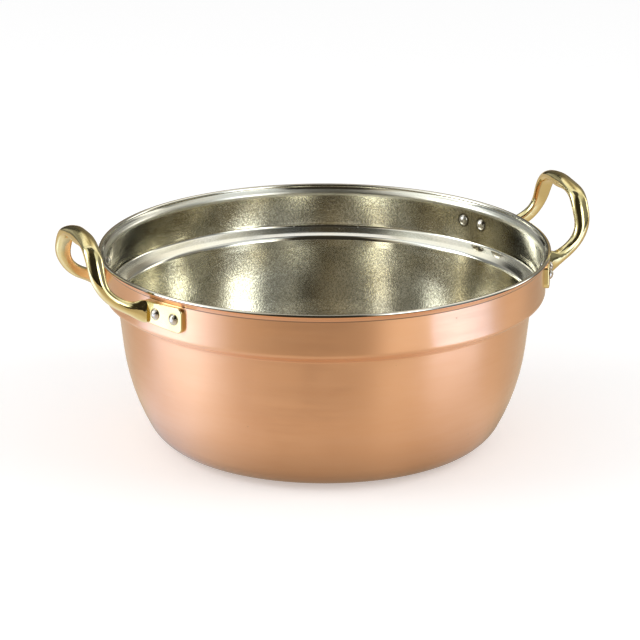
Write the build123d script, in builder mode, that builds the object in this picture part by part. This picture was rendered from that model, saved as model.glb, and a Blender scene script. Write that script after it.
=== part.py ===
"""Stepped copper jam pan with a tin lining and two riveted brass loop handles.

The Z axis is the pan's own axis and the flat base stands on z = 0.
The handles lie along X, and all sizes are millimetres.
"""
import os
from math import cos, degrees, radians, sin, tan

from build123d import *

# Sheet of the spun shell, and the film of tin wiped over its inside.
copper_wall = 1.5
tin_thickness = 0.25

# Outer face of the shell, from the beaded rim down to the base.
collar_inside_diameter = 300.0
pan_height = 136.7
flare_angle = 37.4
flare_length = 4.77
flare_bend_radius = 1.5
rim_bead_diameter = 3.0
collar_depth = 31.3
collar_foot_radius = 4.0
step_drop = 5.6
step_inset = 9.5
step_foot_radius = 2.4
wall_lean = 6.9
wall_drop = 30.5
belly_lean = 28.8
corner_radius = 30.4

# Rivets: a row under the flare, two through each foot of a handle.
rivet_row_depth = 14.9
rivet_shank_diameter = 5.0
rivet_head_diameter = 7.4
rivet_head_height = 2.5
rivet_head_edge = 0.5
rivet_setback = 8.2
rivet_pitch = 16.9
cut_overrun = 5.0

# Foot plates of the handles, bent to the collar.
foot_spread = 46.8
plate_thickness = 3.0
plate_end_margin = 7.4
plate_rise_near = 7.6
plate_rise_far = 8.5
plate_drop_near = 7.7
plate_drop_far = 9.5
plate_corner_radius = 4.0
plate_edge_radius = 0.8

# Cast bar of the handles: arms out from the feet, a knee, then the arched grip.
foot_depth = 4.8
grip_reach = 26.7
knee_span = 72.5
crown_rise = 27.8
grip_width = 12.0
crown_depth = 10.6
leg_depth = 8.4
arm_width = 10.4
knee_width = 8.6
knee_depth = 8.8
crown_tilt = 15.0

collar_radius = collar_inside_diameter / 2 + copper_wall
wall_thickness = copper_wall + tin_thickness
bead_lift = flare_length * cos(radians(flare_angle)) + wall_thickness / 2 * sin(radians(flare_angle))
bead_reach = flare_length * sin(radians(flare_angle)) - wall_thickness / 2 * cos(radians(flare_angle))
bead_height = pan_height - rim_bead_diameter / 2
flare_foot_height = bead_height - bead_lift
rivet_row_height = pan_height - rivet_row_depth


def collar_turn(arc_length):
    """Angle in degrees that a length along the collar's outer face spans."""
    return degrees(arc_length / collar_radius)


def outward(angle):
    """Level direction away from the pan's axis, at an angle from +X in degrees."""
    return Vector(cos(radians(angle)), sin(radians(angle)), 0)


def face_outline():
    """Outer face of the wall in half section, from the bead of the rim to the middle of the base."""
    flare = radians(flare_angle)
    lean_start = radians(wall_lean)
    lean_end = radians(belly_lean)
    corner_drop = corner_radius * (1 - sin(lean_end))
    belly_drop = pan_height - collar_depth - step_drop - wall_drop - corner_drop
    belly_radius = belly_drop / (sin(lean_end) - sin(lean_start))
    rim = (collar_radius + flare_length * sin(flare), flare_foot_height + flare_length * cos(flare))
    flare_foot = (collar_radius, flare_foot_height)
    collar_foot = (collar_radius, pan_height - collar_depth)
    step_foot = (collar_radius - step_inset, pan_height - collar_depth - step_drop)
    wall_foot = (step_foot[0] - wall_drop * tan(lean_start), step_foot[1] - wall_drop)
    bends = (flare_bend_radius, collar_foot_radius, step_foot_radius)
    with BuildLine() as outline:
        FilletPolyline(rim, flare_foot, collar_foot, step_foot, wall_foot, radius=bends)
        wall_way = (-sin(lean_start), -cos(lean_start))
        belly = JernArc(wall_foot, wall_way, belly_radius, wall_lean - belly_lean)
        corner = JernArc(belly @ 1, belly % 1, corner_radius, belly_lean - 90)
        Line(corner @ 1, (0, 0))
    return outline.wire()


def wall_layer(thickness, bead_radius):
    """Half section of a layer of the wall, from the outer face inwards, with the bead round its edge."""
    with BuildSketch() as section:
        with BuildLine():
            add(face_outline())
            offset(amount=thickness, side=Side.RIGHT)
        make_face()
        with Locations((collar_radius + bead_reach, bead_height)):
            Circle(bead_radius)
    return section.sketch


# The copper alone, and the copper with its tin.
copper_layer = wall_layer(copper_wall, rim_bead_diameter / 2 - tin_thickness)
whole_wall = wall_layer(wall_thickness, rim_bead_diameter / 2)


# The four rivets of one side by their angle from the middle of its handle.
rivet_turns = [collar_turn(foot_spread + rivet_setback + place * rivet_pitch) for place in (0, 1)]
rivet_angles = [-rivet_turns[1], -rivet_turns[0], rivet_turns[0], rivet_turns[1]]


def rivet_plane(angle, radius):
    """Plane square to a rivet at a distance from the pan's axis, facing outwards."""
    middle = outward(angle) * radius + Vector(0, 0, rivet_row_height)
    return Plane(middle, x_dir=(0, 0, 1), z_dir=outward(angle))


all_rivet_angles = [turn + angle for turn in (0, 180) for angle in rivet_angles]
hole_places = [rivet_plane(angle, collar_radius + cut_overrun) for angle in all_rivet_angles]
hole_depth = wall_thickness + 2 * cut_overrun

# Shell: one disc of copper, spun to a beaded, flared rim, a straight collar, a step and a rounded bowl.
with BuildPart() as pan_body:
    with BuildSketch(Plane.XZ):
        add(copper_layer)
    revolve(axis=Axis.Z)
    with Locations(*hole_places):
        Hole(rivet_shank_diameter / 2, depth=hole_depth)

# Lining: the tin film over the whole inside, wiped round the bead of the rim.
with BuildPart() as tin_lining:
    with BuildSketch(Plane.XZ):
        add(whole_wall)
        add(copper_layer, mode=Mode.SUBTRACT)
    revolve(axis=Axis.Z)
    with Locations(*hole_places):
        Hole(rivet_shank_diameter / 2, depth=hole_depth)

# Solid block of the pan's outer shape, which the handles are cast to fit round.
with BuildPart() as pan_block:
    with BuildSketch(Plane.XZ):
        with BuildLine():
            face = face_outline()
            add(face)
            Polyline(face @ 0, (0, (face @ 0).Y), (0, 0))
        make_face()
    revolve(axis=Axis.Z)

# Points of the bar's path: shares of its reach, of the foot's and the knee's spread, and of its rise.
path_shares = [
    (0.70, 0.18, 0.82, 0.22),
    (0.92, 0, 0.995, 0.41),
    (0.985, 0, 0.91, 0.65),
    (1.0, 0, 0.655, 0.91),
    (0.973, 0, 0, 1),
]

# Outline of the bar's section as shares of half its width and depth, flatter towards the hand.
section_shares = [(0, -1), (0.6, -0.8), (0.97, -0.25), (0.93, 0.35), (0.68, 0.74), (0.28, 0.84)]
section_shares += [(-x, y) for x, y in reversed(section_shares[1:])]

# How far the bar's broad side turns to the crown's tilt, and how far its start follows the wall.
crown_way_share = 0.3
wall_way_share = 0.5

foot_turn = collar_turn(foot_spread)
foot_radius = collar_radius + foot_depth / 2
foot_height = rivet_row_height + (plate_rise_near - plate_drop_near) / 2
foot_point = outward(foot_turn) * foot_radius + Vector(0, 0, foot_height)
path_points = [foot_point]
for reach, foot_part, knee_part, rise in path_shares:
    spread = foot_part * foot_point.Y + knee_part * knee_span / 2
    lift = foot_height + rise * (pan_height + crown_rise - foot_height)
    path_points.append(Vector(collar_radius + reach * grip_reach, spread, lift))

# The bar leaves its foot between the way along the wall and the way to the arm's first point.
arm_way = (path_points[1] - foot_point).project_to_plane(Plane.XY).normalized()
start_way = arm_way + outward(foot_turn - 90) * wall_way_share
with BuildLine() as bar_path:
    Spline(*path_points, tangents=(start_way.normalized(), Vector(0, -1, 0)))

# Sections of the bar from a foot to the crown, at shares of the half path's length.
foot_width = plate_rise_near + plate_drop_near
section_place_shares = (0, 0.12, 0.23, 0.35, 0.47, 0.60, 0.73, 0.87, 1)
bar_widths = (foot_width, arm_width, knee_width, knee_width, arm_width) + 4 * (grip_width,)
bar_depths = (foot_depth,) + 3 * (knee_depth,) + 4 * (leg_depth,) + (crown_depth,)
bar_sizes = list(zip(section_place_shares, bar_widths, bar_depths))


def bar_section(share, width, depth, hand):
    """Section across the bar on one half of the handle, hand 1 or -1."""
    middle = bar_path.line @ share
    along = bar_path.line % share
    crown_way = Vector(-cos(radians(crown_tilt)), 0, sin(radians(crown_tilt)))
    broad = Vector(-along.Z, 0, along.X) + crown_way * crown_way_share
    mirrored = Vector(middle.X, hand * middle.Y, middle.Z)
    direction = Vector(hand * along.X, along.Y, hand * along.Z)
    with BuildSketch(Plane(mirrored, x_dir=broad, z_dir=direction)) as section:
        with BuildLine():
            Spline(*[(x * width / 2, y * depth / 2) for x, y in section_shares], periodic=True)
        make_face()
    return section.sketch


# Foot plate: bent to the collar under two rivets, rounded at its free end, with softened edges.
plate_half = (rivet_setback + rivet_pitch + plate_end_margin) / 2
plate_middle = collar_turn(foot_spread + plate_half)
plate_radius = collar_radius + plate_thickness
plate_root = -plate_half - foot_depth / 2
plate_outline = [
    (plate_root, plate_rise_near),
    (plate_root, -plate_drop_near),
    (plate_half, -plate_drop_far),
    (plate_half, plate_rise_far),
]
plate_corners = (0, 0, plate_corner_radius, plate_corner_radius)
plate_way = outward(plate_middle)
with BuildPart() as foot_plate:
    with BuildSketch(Plane((0, 0, rivet_row_height), x_dir=outward(plate_middle + 90), z_dir=plate_way)):
        with BuildLine():
            FilletPolyline(*plate_outline, radius=plate_corners, close=True)
        make_face()
    extrude(amount=plate_radius + cut_overrun)
    with BuildSketch():
        Circle(plate_radius)
        Circle(collar_radius, mode=Mode.SUBTRACT)
    extrude(amount=pan_height, mode=Mode.INTERSECT)
    front_face = foot_plate.faces().filter_by(GeomType.CYLINDER).sort_by(SortBy.RADIUS)[-1]
    fillet(front_face.edges(), plate_edge_radius)

# Handle: one brass casting, the bar and its two feet, fitted to the pan and drilled for the rivets.
with BuildPart() as right_handle:
    near_half = [bar_section(*sizes, 1) for sizes in bar_sizes]
    far_half = [bar_section(*sizes, -1) for sizes in reversed(bar_sizes[:-1])]
    loft(near_half + far_half)
    add(foot_plate.part)
    mirror(foot_plate.part, about=Plane.XZ)
    add(pan_block.part, mode=Mode.SUBTRACT)
    with Locations(*[rivet_plane(angle, plate_radius + cut_overrun) for angle in rivet_angles]):
        Hole(rivet_shank_diameter / 2, depth=plate_thickness + 2 * cut_overrun)

with BuildPart() as left_handle:
    add(right_handle.part, rotation=(0, 0, 180))


# Rivet: a shank through plate and wall, with a domed head on the plate and one inside the pan.
lining_radius = collar_radius - wall_thickness
head_radius = rivet_head_diameter / 2
dome_rise = rivet_head_height - rivet_head_edge
dome_radius = (head_radius ** 2 + dome_rise ** 2) / (2 * dome_rise)


def rivet_head(foot, side):
    """Domed head whose foot lies on a round wall, outside it for side 1 and inside it for side -1."""
    seat = foot - side * rivet_head_edge
    edge = foot + side * rivet_head_edge
    crown = foot + side * rivet_head_height
    with BuildPart() as head:
        with BuildSketch(Plane.XZ):
            with BuildLine():
                Polyline((crown, 0), (seat, 0), (seat, head_radius), (edge, head_radius))
                RadiusArc((edge, head_radius), (crown, 0), side * dome_radius)
            make_face()
        revolve(axis=Axis.X)
        trim = Mode.SUBTRACT if side > 0 else Mode.INTERSECT
        Cylinder(foot, rivet_head_diameter + cut_overrun, mode=trim)
    return head.part


with BuildPart() as pin:
    add(rivet_head(plate_radius, 1))
    add(rivet_head(lining_radius, -1))
    with Locations(Plane.YZ.offset(lining_radius - rivet_head_edge)):
        shank_length = plate_radius - lining_radius + 2 * rivet_head_edge
        Cylinder(rivet_shank_diameter / 2, shank_length, align=(Align.CENTER, Align.CENTER, Align.MIN))

pieces = {"pan_body": pan_body.part, "tin_lining": tin_lining.part}
pieces |= {"left_handle": left_handle.part, "right_handle": right_handle.part}
for side, turn in (("right", 0), ("left", 180)):
    for number, angle in enumerate(rivet_angles, start=1):
        with BuildPart() as rivet:
            with Locations((0, 0, rivet_row_height)):
                add(pin.part, rotation=(0, 0, turn + angle))
        pieces[f"{side}_handle_rivet_{number}"] = rivet.part

os.makedirs("parts", exist_ok=True)
for name, piece in pieces.items():
    piece.label = name
    export_step(piece, f"parts/{name}.step")
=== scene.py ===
"""Stepped copper jam pan with a tin lining and two riveted brass handles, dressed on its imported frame.

All lengths are metres. The pan stands on z = 0 with its axis on Z, and its handles lie along X.
"""
import bpy
import math
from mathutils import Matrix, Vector


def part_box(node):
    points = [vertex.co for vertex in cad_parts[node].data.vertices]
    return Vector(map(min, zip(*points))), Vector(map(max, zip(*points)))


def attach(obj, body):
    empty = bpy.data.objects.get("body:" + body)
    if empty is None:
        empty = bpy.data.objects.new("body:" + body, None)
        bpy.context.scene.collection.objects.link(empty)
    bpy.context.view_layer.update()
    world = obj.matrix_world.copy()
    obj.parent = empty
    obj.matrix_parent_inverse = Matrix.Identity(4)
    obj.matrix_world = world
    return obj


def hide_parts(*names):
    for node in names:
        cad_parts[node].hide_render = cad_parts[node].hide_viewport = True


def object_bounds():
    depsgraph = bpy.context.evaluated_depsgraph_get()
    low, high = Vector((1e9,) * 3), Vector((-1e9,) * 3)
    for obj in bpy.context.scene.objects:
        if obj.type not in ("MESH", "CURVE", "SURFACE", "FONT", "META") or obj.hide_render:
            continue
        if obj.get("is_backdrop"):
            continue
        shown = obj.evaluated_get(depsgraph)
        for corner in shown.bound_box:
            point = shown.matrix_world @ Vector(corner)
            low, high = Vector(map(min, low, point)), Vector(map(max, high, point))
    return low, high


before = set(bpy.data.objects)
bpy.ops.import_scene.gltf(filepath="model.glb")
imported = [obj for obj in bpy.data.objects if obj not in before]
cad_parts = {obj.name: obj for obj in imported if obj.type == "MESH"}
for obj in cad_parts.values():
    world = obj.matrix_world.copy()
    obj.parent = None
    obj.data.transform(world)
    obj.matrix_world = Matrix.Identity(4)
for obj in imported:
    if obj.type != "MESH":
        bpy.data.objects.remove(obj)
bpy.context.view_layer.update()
scene = bpy.context.scene

# Shell: one disc of copper, spun over a former into a flat base, a round bowl, a step, a straight
# collar and a flared rim that ends in a bead. It was polished while it turned, so it carries fine
# rings, and then lacquered, so a thin clear gloss lies over the satin metal.
copper_wall = 0.0015
tin_film = 0.00025
wall_thickness = copper_wall + tin_film
collar_radius = 0.1515
pan_height = 0.1367
flare_angle = math.radians(37.4)
flare_length = 0.00477
flare_bend = 0.0015
bead_radius = 0.0015
bead_fillet = 0.0004
collar_depth = 0.0313
collar_foot_bend = 0.004
step_drop = 0.0056
step_inset = 0.0095
step_foot_bend = 0.0024
wall_lean = math.radians(6.9)
wall_drop = 0.0305
belly_lean = math.radians(28.8)
corner_bend = 0.0304

# How finely the outline is cut along its runs and round its bends, and how finely it is turned.
run_step = 0.004
bend_step = math.radians(4)
fewest_bend_cuts = 4
bead_step = math.radians(8)
fillet_cuts = 5
turned_segments = 288
sharp_edge = math.radians(50)
axis_reach = 1e-9


def outline_steps():
    """The shell's outer face as straight runs and bends, from the middle of the base to the bead."""
    bead_lift = flare_length * math.cos(flare_angle) + wall_thickness / 2 * math.sin(flare_angle)
    flare_foot = flare_bend * math.tan(flare_angle / 2)
    step_angle = math.atan2(step_inset, step_drop)
    step_foot = step_foot_bend * math.tan((step_angle - wall_lean) / 2)
    collar_foot = collar_foot_bend * math.tan(step_angle / 2)
    corner_drop = corner_bend * (1 - math.sin(belly_lean))
    belly_drop = pan_height - collar_depth - step_drop - wall_drop - corner_drop
    belly_bend = belly_drop / (math.sin(belly_lean) - math.sin(wall_lean))
    belly_inset = belly_bend * (math.cos(wall_lean) - math.cos(belly_lean))
    insets = step_inset + wall_drop * math.tan(wall_lean) + belly_inset
    return [
        (collar_radius - insets - corner_bend * math.cos(belly_lean), 0, 0),
        (0, corner_bend, math.pi / 2 - belly_lean),
        (0, belly_bend, belly_lean - wall_lean),
        (wall_drop / math.cos(wall_lean) - step_foot, 0, 0),
        (0, step_foot_bend, wall_lean - step_angle),
        (math.hypot(step_inset, step_drop) - step_foot - collar_foot, 0, 0),
        (0, collar_foot_bend, step_angle),
        (collar_depth - bead_lift - bead_radius - collar_foot - flare_foot, 0, 0),
        (0, flare_bend, -flare_angle),
        (flare_length - flare_foot, 0, 0),
    ]


def wall_face(depth):
    """Radius and height of points on the face that lies a depth inside the outer face."""
    spot = Vector((0, 0))
    heading = 0.0
    points = [(0, depth)]
    for run, bend, turn in outline_steps():
        if run:
            cuts = math.ceil(run / run_step)
            chord = run / cuts
        else:
            cuts = max(fewest_bend_cuts, math.ceil(abs(turn) / bend_step))
            chord = 2 * bend * math.sin(abs(turn) / cuts / 2)
        for _ in range(cuts):
            way = heading + turn / cuts / 2
            spot = spot + Vector((math.cos(way), math.sin(way))) * chord
            heading += turn / cuts
            points.append((spot.x - depth * math.sin(heading), spot.y + depth * math.cos(heading)))
    return points


def round_bead(radius, outer_depth, inner_depth):
    """Points round the bead, and the fillets that join it to faces at two depths on the flare."""
    along = Vector((math.sin(flare_angle), math.cos(flare_angle)))
    inward = Vector((-along.y, along.x))
    to_middle = along * flare_length + inward * wall_thickness / 2
    middle = Vector((collar_radius + to_middle.x, pan_height - bead_radius))

    def fillet(side, gap):
        turn = math.acos((gap + bead_fillet) / (radius + bead_fillet))
        hub = middle + (inward * side * math.cos(turn) - along * math.sin(turn)) * (radius + bead_fillet)
        steps = [turn * cut / fillet_cuts for cut in range(fillet_cuts + 1)]
        arc = [hub + (along * math.sin(at) - inward * side * math.cos(at)) * bead_fillet for at in steps]
        return turn, arc

    outer_turn, outer_arc = fillet(-1, wall_thickness / 2 - outer_depth)
    inner_turn, inner_arc = fillet(1, inner_depth - wall_thickness / 2)
    first = -math.pi / 2 - outer_turn
    last = math.pi / 2 + inner_turn
    cuts = math.ceil((last - first) / bead_step)
    angles = [first + (last - first) * cut / cuts for cut in range(1, cuts)]
    bead = [middle + (along * math.cos(at) + inward * math.sin(at)) * radius for at in angles]
    return [tuple(point) for point in outer_arc + bead + inner_arc[::-1]]


def turned_mesh(name, outline, segments=turned_segments):
    """Mesh of a half section turned about the Z axis; a point on the axis is one vertex."""
    verts = []
    rows = []
    faces = []
    for radius, height in outline:
        steps = 1 if abs(radius) < axis_reach else segments
        rows.append([len(verts) + k % steps for k in range(segments)])
        for k in range(steps):
            angle = 2 * math.pi * k / segments
            verts.append((radius * math.cos(angle), radius * math.sin(angle), height))
    for low, high in zip(rows, rows[1:]):
        for k in range(segments):
            after = (k + 1) % segments
            ring = list(dict.fromkeys([low[k], low[after], high[after], high[k]]))
            if len(ring) > 2:
                faces.append(ring)
    mesh = bpy.data.meshes.new(name)
    mesh.from_pydata(verts, [], faces)
    mesh.shade_smooth()
    mesh.set_sharp_from_angle(angle=sharp_edge)
    return mesh


def dressed(name, mesh, material, node):
    """Piece that rides on the pan, takes a finish and stands for a node of the frame."""
    piece = bpy.data.objects.new(name, mesh)
    scene.collection.objects.link(piece)
    mesh.materials.append(material)
    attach(piece, "root")
    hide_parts(node)


def add_node(tree, kind, inputs=None, **settings):
    """New node with its settings, its inputs set to values or linked from other sockets."""
    made = tree.nodes.new(kind)
    for name, value in settings.items():
        setattr(made, name, value)
    for name, value in (inputs or {}).items():
        if isinstance(value, bpy.types.NodeSocket):
            tree.links.new(value, made.inputs[name])
        else:
            made.inputs[name].default_value = value
    return made


def effect_group(name, inputs, output):
    """New shader node group with number sockets; returns it with its inputs and its result's socket."""
    group = bpy.data.node_groups.new(name, "ShaderNodeTree")
    for label, value in inputs.items():
        socket = group.interface.new_socket(label, in_out="INPUT", socket_type="NodeSocketFloat")
        socket.default_value = value
    group.interface.new_socket(output, in_out="OUTPUT", socket_type="NodeSocketFloat")
    given = add_node(group, "NodeGroupInput").outputs
    return group, given, add_node(group, "NodeGroupOutput").inputs[output]


def effect(tree, group, **values):
    """A placed effect with its own values; returns its only output."""
    return add_node(tree, "ShaderNodeGroup", values, node_tree=group).outputs[0]


def sum_of(tree, operation, first, second):
    """Result of a sum on two numbers."""
    return add_node(tree, "ShaderNodeMath", {0: first, 1: second}, operation=operation).outputs[0]


def spread_to(tree, value, start, end, low, high):
    """A value that rises from start to end, mapped to low and high with soft ends."""
    limits = {"Value": value, "From Min": start, "From Max": end, "To Min": low, "To Max": high}
    return add_node(tree, "ShaderNodeMapRange", limits, interpolation_type="SMOOTHSTEP").outputs[0]


def between(tree, value, start, full, last, end):
    """1 where a value lies from full to last, fading to 0 at start and end."""
    rise = spread_to(tree, value, start, full, 0, 1)
    return sum_of(tree, "MULTIPLY", rise, spread_to(tree, value, last, end, 1, 0))


def tone_between(tree, share, first, second):
    """Colour between two colours, by a share; a mix node's colours are inputs 6 and 7 and output 2."""
    mixed = {0: share, 6: first, 7: second}
    return add_node(tree, "ShaderNodeMix", mixed, data_type="RGBA").outputs[2]


def own_place(tree):
    """Place of a point in its object's own frame, which is the pan's for every piece of the pan."""
    return add_node(tree, "ShaderNodeTexCoord").outputs["Object"]


def height_of(tree, place):
    """Height of a place above the table."""
    return add_node(tree, "ShaderNodeSeparateXYZ", {0: place}).outputs["Z"]


def flat_part(tree, place):
    """Level part of a place: the way from the pan's axis out to it."""
    return add_node(tree, "ShaderNodeVectorMath", {0: place, 1: (1, 1, 0)}, operation="MULTIPLY").outputs[0]


def length_of(tree, vector):
    """Length of a vector."""
    return add_node(tree, "ShaderNodeVectorMath", {0: vector}, operation="LENGTH").outputs["Value"]


# Rings: marks that run round the pan, left where a tool or a cloth was held to the turning metal.
turned_marks, given, marks = effect_group("turned_marks", {"Fineness": 300, "Length": 1.5}, "Marks")
place = own_place(turned_marks)
flat = flat_part(turned_marks, place)
way = add_node(turned_marks, "ShaderNodeVectorMath", {0: flat}, operation="NORMALIZE").outputs[0]
way = {0: way, "Scale": given["Length"]}
way = add_node(turned_marks, "ShaderNodeVectorMath", way, operation="SCALE").outputs[0]
climb = sum_of(turned_marks, "ADD", height_of(turned_marks, place), length_of(turned_marks, flat))
climb = sum_of(turned_marks, "MULTIPLY", climb, given["Fineness"])
climb = add_node(turned_marks, "ShaderNodeCombineXYZ", {"Z": climb}).outputs[0]
where = add_node(turned_marks, "ShaderNodeVectorMath", {0: way, 1: climb}, operation="ADD").outputs[0]
noise = {"Vector": where, "Scale": 1.0, "Detail": 4.0, "Roughness": 0.72}
turned_marks.links.new(add_node(turned_marks, "ShaderNodeTexNoise", noise).outputs[0], marks)

# Clouds: soft patches of tone, from handling, heat and uneven polish.
middle_level = 0.5
clouds, given, share = effect_group("clouds", {"Fineness": 25, "Contrast": 1.0}, "Share")
noise = {"Vector": own_place(clouds), "Scale": given["Fineness"], "Detail": 3.0, "Distortion": 0.4}
noise = add_node(clouds, "ShaderNodeTexNoise", noise).outputs[0]
noise = sum_of(clouds, "MULTIPLY", sum_of(clouds, "SUBTRACT", noise, middle_level), given["Contrast"])
noise = add_node(clouds, "ShaderNodeMath", {0: noise, 1: middle_level}, operation="ADD", use_clamp=True)
clouds.links.new(noise.outputs[0], share)

# Specks: small scattered pits and grains; only a share of the cells of a fine net holds one.
least_speck = 0.001
specks, given, spots = effect_group("specks", {"Fineness": 150, "Size": 0.1, "Share": 0.1}, "Specks")
cells = {"Vector": own_place(specks), "Scale": given["Fineness"]}
cells = add_node(specks, "ShaderNodeTexVoronoi", cells).outputs
draw = add_node(specks, "ShaderNodeSeparateColor", {0: cells["Color"]}).outputs
size = sum_of(specks, "MULTIPLY", given["Size"], draw["Green"])
size = sum_of(specks, "ADD", size, least_speck)
inside = {"Value": cells["Distance"], "From Min": size, "From Max": 0.0}
inside = add_node(specks, "ShaderNodeMapRange", inside, interpolation_type="SMOOTHSTEP").outputs[0]
held = sum_of(specks, "LESS_THAN", draw["Red"], given["Share"])
specks.links.new(sum_of(specks, "MULTIPLY", inside, held), spots)


def metal(name, roughness, **fixed):
    """New metal material; returns it with its node tree and its shader's sockets."""
    material = bpy.data.materials.new(name)
    material.use_nodes = True
    shader = material.node_tree.nodes["Principled BSDF"]
    shader.inputs["Roughness"].default_value = roughness
    shader.inputs["Metallic"].default_value = 1
    for socket, value in fixed.items():
        shader.inputs[socket.replace("_", " ")].default_value = value
    return material, material.node_tree, shader.inputs


def relief(tree, height, depth, below=None):
    """Normal of a surface with a relief of heights from 0 to 1, over an earlier relief if one is given."""
    bump = add_node(tree, "ShaderNodeBump", {"Height": height, "Distance": depth})
    if below is not None:
        tree.links.new(below, bump.inputs["Normal"])
    return bump.outputs[0]


# The copper's finish: satin along the rings, with painted shade, a near-black line, in the crease under the
# flare.
copper_satin = 0.36
ring_swing = 0.035
patch_swing = 0.03
ring_depth = 0.00004
speck_depth = 0.00025
copper_pale = (0.94, 0.53, 0.30, 1)
copper_deep = (0.93, 0.50, 0.27, 1)
copper_band = (0.97, 0.58, 0.35, 1)
copper_pit = (0.42, 0.20, 0.10, 1)
copper_crease_shade = (0.10, 0.05, 0.03, 1)
band_share = 0.3
pit_share = 0.6
crease_shade_share = 0.85
crease = pan_height - 0.0058
crease_reach = 0.0007
mark_span = (0.3, 0.7)
band_span = (0.35, 0.65)
patch_span = (0.2, 0.8)
copper, tree, shader = metal(
    "lacquered_copper", copper_satin,
    Anisotropic=0.85, Anisotropic_Rotation=0.25, Coat_Weight=1.0, Coat_Roughness=0.1, Coat_IOR=1.8,
)
rings = effect(tree, turned_marks, Fineness=260, Length=2.0)
polish = effect(tree, turned_marks, Fineness=45, Length=1.2)
patches = effect(tree, clouds, Fineness=22, Contrast=1.6)
pits = effect(tree, specks, Fineness=170, Size=0.16, Share=0.05)
tone = tone_between(tree, patches, copper_pale, copper_deep)
tone = tone_between(tree, spread_to(tree, polish, *band_span, 0, band_share), tone, copper_band)
tone = tone_between(tree, sum_of(tree, "MULTIPLY", pits, pit_share), tone, copper_pit)
height = height_of(tree, own_place(tree))
# Painted shade: near-black copper along the crease under the flare.
painted_shade = between(tree, height, crease - crease_reach, crease, crease, crease + crease_reach)
tone = tone_between(tree, sum_of(tree, "MULTIPLY", painted_shade, crease_shade_share), tone, copper_crease_shade)
tree.links.new(tone, shader["Base Color"])
satin = spread_to(tree, rings, *mark_span, copper_satin - ring_swing, copper_satin + ring_swing)
satin = sum_of(tree, "ADD", satin, spread_to(tree, patches, *patch_span, -patch_swing, patch_swing))
tree.links.new(satin, shader["Roughness"])
tree.links.new(relief(tree, pits, -speck_depth, relief(tree, rings, ring_depth)), shader["Normal"])
shell_outline = wall_face(0)[:-1] + round_bead(bead_radius - tin_film, 0, copper_wall)
shell_outline += wall_face(copper_wall)[-2::-1]
dressed("copper_shell", turned_mesh("copper_shell", shell_outline), copper, "pan_body")

# Lining: pure tin, wiped on hot over the whole inside and round the bead of the rim. It set with a
# pebbled skin and pin holes, and shows the way the cloth went round. The ledge and the bead were
# burnished smooth, and the bead's outside is worn back to copper below a line of painted shade.
tin_gloss = 0.11
wipe_swing = (-0.02, 0.03)
cloud_swing = (-0.02, 0.03)
grain_depth = 0.00005
wipe_depth = 0.00003
pin_depth = 0.0002
tin_warm = (0.88, 0.84, 0.71, 1)
tin_cool = (0.87, 0.86, 0.80, 1)
tin_pebble = (0.40, 0.37, 0.28, 1)
tin_pin = (0.25, 0.20, 0.12, 1)
tin_rivet_shade = (0.08, 0.06, 0.03, 1)
seam_shade = (0.05, 0.04, 0.03, 1)
bare_copper = (0.93, 0.50, 0.28, 1)
grain_span = (0.38, 0.6)
pebble_share = 0.52
even_pebble_share = 0.05
pin_share = 0.5
rivet_shade_share = 0.8
seam_shade_share = 0.95
burnished_relief = 0.08
burnished_gloss = 0.6
worn_roughness = 0.3
ledge_low = pan_height - collar_depth - step_drop - 0.002
ledge_low_fade = 0.005
ledge_high = pan_height - collar_depth + 0.002
ledge_high_fade = 0.003
rim_low = pan_height - 0.0035
rim_fade = 0.0006
flare_low = rim_low - 0.006
flare_full = rim_low - 0.003
outside_from = collar_radius + 0.0020
outside_full = collar_radius + 0.0026
seam = pan_height - 0.0011
seam_reach = 0.0002
bare_full = seam - 0.0007
bare_end = seam - 0.0004

# Rivet shade: painted shade, a dark ring round the rivet heads. The two rivets in one quarter of the pan
# stand for all eight, since the other quarters mirror it.
near_rivets, given, dark = effect_group("near_rivets", {"Near": 0.0043, "Far": 0.0053}, "Rivet_shade_and_residue")
folded = {0: own_place(near_rivets)}
folded = add_node(near_rivets, "ShaderNodeVectorMath", folded, operation="ABSOLUTE").outputs[0]
nearest = 1.0
for name in ("right_handle_rivet_3", "right_handle_rivet_4"):
    low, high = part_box(name)
    middle = (Vector(low) + Vector(high)) / 2
    gap = add_node(near_rivets, "ShaderNodeVectorMath", {0: folded, 1: middle}, operation="DISTANCE")
    nearest = sum_of(near_rivets, "MINIMUM", nearest, gap.outputs["Value"])
fade = {"Value": nearest, "From Min": given["Near"], "From Max": given["Far"], "To Min": 1.0, "To Max": 0.0}
near_rivets.links.new(add_node(near_rivets, "ShaderNodeMapRange", fade).outputs[0], dark)

tin, tree, shader = metal("wiped_tin", tin_gloss)
wiping = effect(tree, turned_marks, Fineness=110, Length=5.0)
patches = effect(tree, clouds, Fineness=30, Contrast=2.2)
pins = effect(tree, specks, Fineness=170, Size=0.18, Share=0.08)
shade_and_residue = effect(tree, near_rivets, Near=0.0049, Far=0.0060)
place = own_place(tree)
grain = {"Vector": place, "Scale": 760.0, "Detail": 2.0, "Roughness": 0.6}
grain = add_node(tree, "ShaderNodeTexNoise", grain).outputs[0]
height = height_of(tree, place)
radius = length_of(tree, flat_part(tree, place))
on_ledge = between(
    tree, height, ledge_low - ledge_low_fade, ledge_low, ledge_high, ledge_high + ledge_high_fade)
on_rim = spread_to(tree, height, rim_low, rim_low + rim_fade, 0, 1)
smooth = sum_of(tree, "MAXIMUM", on_ledge, on_rim)
on_flare = spread_to(tree, height, flare_low, flare_full, 0, 1)
outside = spread_to(tree, radius, outside_from, outside_full, 0, 1)
bare = sum_of(tree, "MULTIPLY", spread_to(tree, height, bare_full, bare_end, 1, 0), outside)

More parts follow.
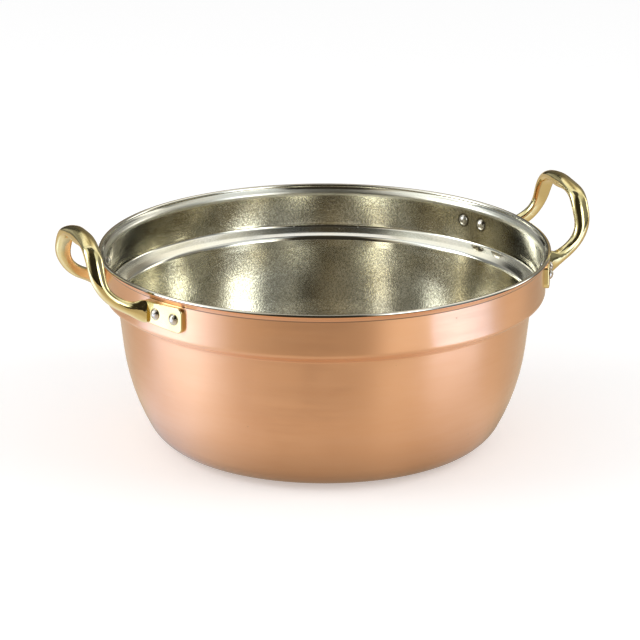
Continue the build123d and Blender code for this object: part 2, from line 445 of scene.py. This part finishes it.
tone = tone_between(tree, patches, tin_warm, tin_cool)
pebbles = spread_to(tree, sum_of(tree, "MAXIMUM", smooth, on_flare), 0, 1, pebble_share, even_pebble_share)
pebbles = sum_of(tree, "MULTIPLY", spread_to(tree, grain, *grain_span, 1, 0), pebbles)
tone = tone_between(tree, pebbles, tone, tin_pebble)
tone = tone_between(tree, sum_of(tree, "MULTIPLY", pins, pin_share), tone, tin_pin)
# Painted shade: a dark ring on the tin round the rivet heads inside the pan.
tone = tone_between(tree, sum_of(tree, "MULTIPLY", shade_and_residue, rivet_shade_share), tone, tin_rivet_shade)
# Painted shade: a dark line on the bead's outside, between the tin above and the bare copper below.
painted_shade = spread_to(tree, height, seam - seam_reach, seam + seam_reach, seam_shade_share, 0)
tone = tone_between(tree, sum_of(tree, "MULTIPLY", painted_shade, outside), tone, seam_shade)
tone = tone_between(tree, bare, tone, bare_copper)
tree.links.new(tone, shader["Base Color"])

gloss = spread_to(tree, wiping, *mark_span, tin_gloss + wipe_swing[0], tin_gloss + wipe_swing[1])
gloss = sum_of(tree, "ADD", gloss, spread_to(tree, patches, *patch_span, *cloud_swing))
gloss = sum_of(tree, "MULTIPLY", gloss, spread_to(tree, smooth, 0, 1, 1, burnished_gloss))
worn = sum_of(tree, "MULTIPLY", on_flare, spread_to(tree, height, rim_low, rim_low + rim_fade, 1, 0))
worn = sum_of(tree, "MULTIPLY", sum_of(tree, "MAXIMUM", worn, bare), worn_roughness)
tree.links.new(sum_of(tree, "MAXIMUM", gloss, worn), shader["Roughness"])

rough_part = spread_to(tree, smooth, 0, 1, 1, burnished_relief)
skin = relief(tree, sum_of(tree, "MULTIPLY", grain, rough_part), grain_depth)
skin = relief(tree, sum_of(tree, "MULTIPLY", wiping, rough_part), wipe_depth, skin)
tree.links.new(relief(tree, pins, -pin_depth, skin), shader["Normal"])
lining_outline = wall_face(copper_wall)[:-1] + round_bead(bead_radius - tin_film, 0, copper_wall)[::-1]
lining_outline += round_bead(bead_radius, 0, wall_thickness) + wall_face(wall_thickness)[-2::-1]
dressed("tin_skin", turned_mesh("tin_skin", lining_outline), tin, "tin_lining")

# Handles: two brass castings, filed and polished bright. The polish left hairlines and a slightly
# wavy face, and it is a little duller round the rivet heads, where painted shade darkens the brass.
brass_gloss = 0.08
brass_swing = (-0.02, 0.06)
scratch_gloss = 0.15
residue_gloss = 0.3
wave_depth = 0.0003
line_depth = 0.00002
brass_pale = (0.88, 0.76, 0.40, 1)
brass_deep = (0.80, 0.67, 0.28, 1)
brass_rivet_shade = (0.30, 0.20, 0.07, 1)
brass_pit = (0.40, 0.27, 0.10, 1)
brass_rivet_shade_share = 0.75
line_ways = ((0.3, 0.2, 0.9), (1.1, 0.7, 2.3))
line_stretch = (0.02, 1, 0.02)
line_level = 0.75
line_peak = 0.8
hairlines, given, scratched = effect_group("hairlines", {"Fineness": 1500, "Share": 0.1}, "Lines")
place = own_place(hairlines)
least = sum_of(hairlines, "SUBTRACT", line_level, given["Share"])
lines = 0.0
for turn in line_ways:
    way = {"Vector": place, "Rotation": turn, "Scale": line_stretch}
    way = add_node(hairlines, "ShaderNodeMapping", way).outputs[0]
    thin = {"Vector": way, "Scale": given["Fineness"], "Detail": 1.0}
    thin = add_node(hairlines, "ShaderNodeTexNoise", thin).outputs[0]
    thin = {"Value": thin, "From Min": least, "From Max": line_peak}
    thin = add_node(hairlines, "ShaderNodeMapRange", thin).outputs[0]
    lines = sum_of(hairlines, "MAXIMUM", lines, thin)
hairlines.links.new(lines, scratched)

brass, tree, shader = metal("polished_brass", brass_gloss, Coat_Weight=0.6, Coat_Roughness=0.04, Coat_IOR=1.8)
patches = effect(tree, clouds, Fineness=60, Contrast=2.0)
scratches = effect(tree, hairlines, Fineness=2200, Share=0.12)
pits = effect(tree, specks, Fineness=260, Size=0.14, Share=0.06)
# Painted shade: a dark ring on the brass round the rivet heads; the same mask makes the brass there a little
# rougher.
shade_and_residue = effect(tree, near_rivets, Near=0.0043, Far=0.0053)
shade_and_residue = sum_of(tree, "MULTIPLY", shade_and_residue, brass_rivet_shade_share)
tone = tone_between(tree, patches, brass_pale, brass_deep)
tone = tone_between(tree, shade_and_residue, tone, brass_rivet_shade)
tone = tone_between(tree, sum_of(tree, "MULTIPLY", pits, pit_share), tone, brass_pit)
tree.links.new(tone, shader["Base Color"])
gloss = spread_to(tree, patches, *patch_span, brass_gloss + brass_swing[0], brass_gloss + brass_swing[1])
gloss = sum_of(tree, "ADD", gloss, sum_of(tree, "MULTIPLY", scratches, scratch_gloss))
gloss = sum_of(tree, "ADD", gloss, sum_of(tree, "MULTIPLY", shade_and_residue, residue_gloss))
tree.links.new(gloss, shader["Roughness"])
wave = {"Vector": own_place(tree), "Scale": 90.0, "Detail": 1.0}
wave = add_node(tree, "ShaderNodeTexNoise", wave).outputs[0]
skin = relief(tree, scratches, -line_depth, relief(tree, wave, wave_depth))
tree.links.new(relief(tree, pits, -speck_depth, skin), shader["Normal"])
for name in ("left_handle", "right_handle"):
    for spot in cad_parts[name].material_slots:
        spot.material = brass

# Rivets: eight domed pins of bright steel, set hot through plate and wall, their heads formed and
# buffed, so they carry faint hammer flats and hairlines.
rivet_gloss = 0.12
rivet_swing = (-0.03, 0.08)
rivet_scratch_gloss = 0.2
flat_depth = 0.0003
steel_pale = (0.76, 0.72, 0.65, 1)
steel_deep = (0.60, 0.56, 0.49, 1)
rivet_steel, tree, shader = metal("rivet_steel", rivet_gloss)
patches = effect(tree, clouds, Fineness=300, Contrast=1.8)
scratches = effect(tree, hairlines, Fineness=3000, Share=0.15)
tree.links.new(tone_between(tree, patches, steel_pale, steel_deep), shader["Base Color"])
gloss = spread_to(tree, patches, *patch_span, rivet_gloss + rivet_swing[0], rivet_gloss + rivet_swing[1])
gloss = sum_of(tree, "ADD", gloss, sum_of(tree, "MULTIPLY", scratches, rivet_scratch_gloss))
tree.links.new(gloss, shader["Roughness"])
tree.links.new(relief(tree, patches, flat_depth, relief(tree, scratches, -line_depth)), shader["Normal"])
for name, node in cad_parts.items():
    if "rivet" in name:
        for spot in node.material_slots:
            spot.material = rivet_steel

# Camera: at the photograph's angle, far off with a long lens. The studio is laid out round its line.
camera_turn = math.radians(-22)
camera_lift = math.radians(17.743)
camera_distance = 4.0
camera_lens = 327.15
camera_shift = -0.00722
camera_reach = 50
aim_height = 0.0841
camera = bpy.data.objects.new("camera", bpy.data.cameras.new("camera"))
scene.collection.objects.link(camera)
level = math.cos(camera_lift)
away = Vector((math.sin(camera_turn) * level, -math.cos(camera_turn) * level, math.sin(camera_lift)))
camera.location = Vector((0, 0, aim_height)) + away * camera_distance
camera.rotation_euler = (-away).to_track_quat("-Z", "Y").to_euler()
camera.data.lens = camera_lens
camera.data.shift_x = camera_shift
camera.data.clip_end = camera_reach
scene.camera = camera
scene.view_settings.view_transform = "Standard"

# Floor: a plain white table. What sees it straight or in metal gets the white of a lit table, and
# the pan's own shadow stays on it.
table_half = 8.0
table_white = (0.85, 0.85, 0.85, 1)
table_glow = 0.36


def stage_square(name, low_x, high_x, low_y, high_y, height):
    """Level rectangle of the stage, as a mesh of one face."""
    mesh = bpy.data.meshes.new(name)
    corners = ((low_x, low_y), (high_x, low_y), (high_x, high_y), (low_x, high_y))
    mesh.from_pydata([(x, y, height) for x, y in corners], [], [(0, 1, 2, 3)])
    return mesh


def stage_piece(name, mesh, paint):
    """Painted piece of the stage, which is no part of the pan."""
    piece = bpy.data.objects.new(name, mesh)
    scene.collection.objects.link(piece)
    mesh.materials.append(paint)
    piece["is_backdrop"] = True
    return piece


def straight_or_mirrored(tree):
    """1 for rays that the camera, metal or glass sends out, and 0 for light that the stage spreads."""
    path = add_node(tree, "ShaderNodeLightPath").outputs
    mirrored = sum_of(tree, "MAXIMUM", path["Is Glossy Ray"], path["Is Transmission Ray"])
    return sum_of(tree, "MAXIMUM", path["Is Camera Ray"], mirrored)


def stage_paint(name):
    """New material with an empty node tree."""
    paint = bpy.data.materials.new(name)
    paint.use_nodes = True
    paint.node_tree.nodes.clear()
    return paint, paint.node_tree


table_paint, tree = stage_paint("white_table")
lift = sum_of(tree, "MULTIPLY", straight_or_mirrored(tree), table_glow)
spread = add_node(tree, "ShaderNodeBsdfDiffuse", {"Color": table_white})
glow = add_node(tree, "ShaderNodeEmission", {"Strength": lift})
both = add_node(tree, "ShaderNodeAddShader", {0: spread.outputs[0], 1: glow.outputs[0]})
add_node(tree, "ShaderNodeOutputMaterial", {"Surface": both.outputs[0]})
table_mesh = stage_square("table", -table_half, table_half, -table_half, table_half, 0)
stage_piece("table", table_mesh, table_paint)

# Studio: a white room, and round the pan a tent and a table mat that only the metal mirrors. Their
# grey keeps the metal from washing out, the dark side is the camera's, and a soft box stands at each side.
room_light = 0.6
room_seen = 1.0
white = (1, 1, 1, 1)


def level_between(tree, share, first, second):
    """Number between two numbers, by a share."""
    return add_node(tree, "ShaderNodeMix", {"Factor": share, "A": first, "B": second}).outputs["Result"]


world = bpy.data.worlds.new("studio")
scene.world = world
world.use_nodes = True
tree = world.node_tree
tree.nodes.clear()
strength = level_between(tree, straight_or_mirrored(tree), room_light, room_seen)
sky = add_node(tree, "ShaderNodeBackground", {"Color": white, "Strength": strength})
add_node(tree, "ShaderNodeOutputWorld", {"Surface": sky.outputs[0]})

# Brightness all round, by turns in degrees from the camera's line, positive to its right. The mat has
# one table for a step away and one for right beside the pan, and the tent has three, for low, higher
# and high up. Warmth runs from 0, cool white, to 1, the white of a warm lamp.
mat_light = [
    (-180, 0.55), (-124, 0.6), (-98, 0.75), (-88, 1.8), (-66, 1.9), (-54, 1.2), (-40, 0.72), (-20, 0.55),
    (20, 0.52), (40, 0.54), (48.3, 0.66), (49.8, 1.9), (58, 2.2), (74, 2.0), (84, 1.0), (98, 0.6),
    (115, 0.5), (180, 0.55),
]
near_light = [
    (-180, 0.7), (-110, 0.7), (-86, 0.95), (-60, 1.0), (-40, 0.82), (-15, 0.7), (35, 0.66), (52, 0.78),
    (72, 0.8), (96, 0.6), (180, 0.7),
]
tent_light = [
    (-180, 0.2), (-152, 0.06), (-144, 0.7), (-134, 0.6), (-124, 0.25), (-103, 0.25), (-94, 3.2), (-74, 3.2),
    (-64, 1.0), (-48, 0.4), (-30, 0.03), (20, 0.03), (26, 0.5), (32, 4.0), (50, 3.5), (60, 0.25), (102, 0.25),
    (110, 5.2), (119, 5.2), (127, 0.25), (150, 0.3), (166, 0.3), (180, 0.2),
]
upper_light = [
    (-180, 0.17), (-152, 0.05), (-144, 0.3), (-134, 0.3), (-124, 0.25), (-100, 0.25), (-92, 5.0), (-72, 5.0),
    (-62, 1.0), (-48, 0.4), (-30, 0.03), (20, 0.03), (26, 0.5), (34, 3.5), (50, 3.0), (60, 0.25), (104, 0.25),
    (110, 1.3), (118, 1.3), (126, 0.25), (150, 0.25), (166, 0.25), (180, 0.17),
]
high_light = [
    (-180, 0.3), (-166, 0.6), (-154, 1.2), (-124, 1.1), (-108, 0.7), (-92, 0.8), (-72, 1.3), (-52, 0.8),
    (-38, 0.3), (-30, 0.03), (26, 0.03), (36, 0.7), (50, 1.0), (70, 0.8), (96, 0.7), (116, 0.9), (128, 1.3),
    (150, 1.1), (166, 0.6), (180, 0.3),
]
tent_warmth = [
    (-180, 1.0), (-164, 0.8), (-154, 0.3), (-140, 0.3), (-112, 0.0), (-64, 0.0), (-40, 0.8), (-20, 1.0),
    (20, 1.0), (34, 0.0), (60, 0.0), (90, 0.3), (110, 0.3), (140, 0.3), (156, 0.8), (180, 1.0),
]
half_turn = 180


def light_round(tree, stops):
    """Brightness by the turn round the pan."""
    place = add_node(tree, "ShaderNodeSeparateXYZ", {0: own_place(tree)}).outputs
    turn = sum_of(tree, "ARCTAN2", place["X"], sum_of(tree, "MULTIPLY", place["Y"], -1))
    share = {"Value": turn, "From Min": -math.pi, "From Max": math.pi}
    share = add_node(tree, "ShaderNodeMapRange", share)
    ramp = add_node(tree, "ShaderNodeValToRGB", {0: share.outputs[0]})
    spots = ramp.color_ramp.elements
    while len(spots) < len(stops):
        spots.new(middle_level)
    brightest = max(light for _, light in stops)
    for spot, (angle, light) in zip(spots, stops):
        spot.position = (angle + half_turn) / (2 * half_turn)
        spot.color = [light / brightest] * 3 + [1]
    return sum_of(tree, "MULTIPLY", ramp.outputs[0], brightest)


def glowing(tree, tone, strength):
    """Ends a stage paint in a glow of a tone and a strength."""
    glow = add_node(tree, "ShaderNodeEmission", {"Color": tone, "Strength": strength})
    add_node(tree, "ShaderNodeOutputMaterial", {"Surface": glow.outputs[0]})


def mirrored_only(name, mesh, paint):
    """Stage piece that only reflections see, turned to the camera's line."""
    piece = stage_piece(name, mesh, paint)
    piece.rotation_euler.z = camera_turn
    piece.visible_camera = False
    piece.visible_diffuse = False
    piece.visible_shadow = False
    piece.visible_transmission = False


# Table mat: a glowing ring on the table, even beside the pan, brighter a step away and darkened at the pan's
# foot by a painted shadow.
stage_segments = 96
stage_radius = 7.0
mat_hole = 0.08
mat_lift = 0.0004
step_span = (0.26, 0.42)
foot_shadow_span = (0.09, 0.17)
foot_shadow_light = 0.35
white_span = (0.6, 1.3)
warm_table = (1.0, 0.82, 0.6, 1)
cool_box = (0.9, 1.0, 1.25, 1)
mat_paint, tree = stage_paint("table_mat")
reach = length_of(tree, own_place(tree))
step_away = spread_to(tree, reach, *step_span, 0, 1)
light = level_between(tree, step_away, light_round(tree, near_light), light_round(tree, mat_light))
tone = tone_between(tree, spread_to(tree, light, *white_span, 0, 1), warm_table, cool_box)
# Painted shadow: the glow fades to a darker ring at the pan's foot.
glowing(tree, tone, sum_of(tree, "MULTIPLY", light, spread_to(tree, reach, *foot_shadow_span, foot_shadow_light, 1)))
mat_outline = [(mat_hole, mat_lift), (stage_radius, mat_lift)]
mirrored_only("table_mat", turned_mesh("table_mat", mat_outline, stage_segments), mat_paint)

# Tent: a dome of cloth with lit panels; the spans are shares of its radius, up from the table.
dim_span = (0.1, 0.3)
dim_light = 0.35
upper_span = (0.2, 0.35)
high_span = (0.55, 0.72)
zenith_span = (0.9, 0.97)
zenith_light = 0.07
cool_cloth = (0.95, 1.0, 1.0, 1)
warm_cloth = (1.0, 0.86, 0.62, 1)
dome_step = math.radians(2.5)
dome_rows = 37
dome_hole = 0.001
tent_paint, tree = stage_paint("tent")
lift = sum_of(tree, "DIVIDE", height_of(tree, own_place(tree)), stage_radius)
tone = tone_between(tree, light_round(tree, tent_warmth), cool_cloth, warm_cloth)
dimmed = spread_to(tree, lift, *dim_span, dim_light, 1)
light = sum_of(tree, "MULTIPLY", light_round(tree, tent_light), dimmed)
upper = light_round(tree, upper_light)
high = light_round(tree, high_light)
for span, above in ((upper_span, upper), (high_span, high), (zenith_span, zenith_light)):
    light = level_between(tree, spread_to(tree, lift, *span, 0, 1), light, above)
glowing(tree, tone, light)
dome = [dome_step * row for row in range(dome_rows)]
dome = [(stage_radius * max(math.cos(a), dome_hole), stage_radius * math.sin(a)) for a in dome]
mirrored_only("tent", turned_mesh("tent", dome, stage_segments), tent_paint)

# Overhead soft box: a white sheet that hangs over the pan, a little beyond it from the camera.
overhead_half = 2.4
overhead_near = 0.35
overhead_far = 0.95
overhead_height = 3.0
overhead_light = 1.0
overhead_paint, tree = stage_paint("overhead_box")
glowing(tree, white, overhead_light)
overhead_mesh = stage_square(
    "overhead_box", -overhead_half, overhead_half, overhead_near, overhead_far, overhead_height)
mirrored_only("overhead_box", overhead_mesh, overhead_paint)

# Soft boxes: one at each side, out of the metal's sight. They light the table and throw the shadow.
lamp_aim = 0.1
lamp_size = (0.9, 1.4)
lamp_power = 10
lamp_distance = 1.6
lamp_height = 1.2
for name, turn in (("left_box", -78), ("right_box", 70)):
    lamp = bpy.data.lights.new(name, "AREA")
    lamp.shape = "RECTANGLE"
    lamp.size, lamp.size_y = lamp_size
    lamp.energy = lamp_power
    holder = bpy.data.objects.new(name, lamp)
    scene.collection.objects.link(holder)
    angle = camera_turn + math.radians(turn)
    holder.location = (lamp_distance * math.sin(angle), -lamp_distance * math.cos(angle), lamp_height)
    way = Vector((0, 0, lamp_aim)) - holder.location
    holder.rotation_euler = way.to_track_quat("-Z", "Z").to_euler()
    holder.visible_camera = False
    holder.visible_glossy = False

low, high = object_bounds()
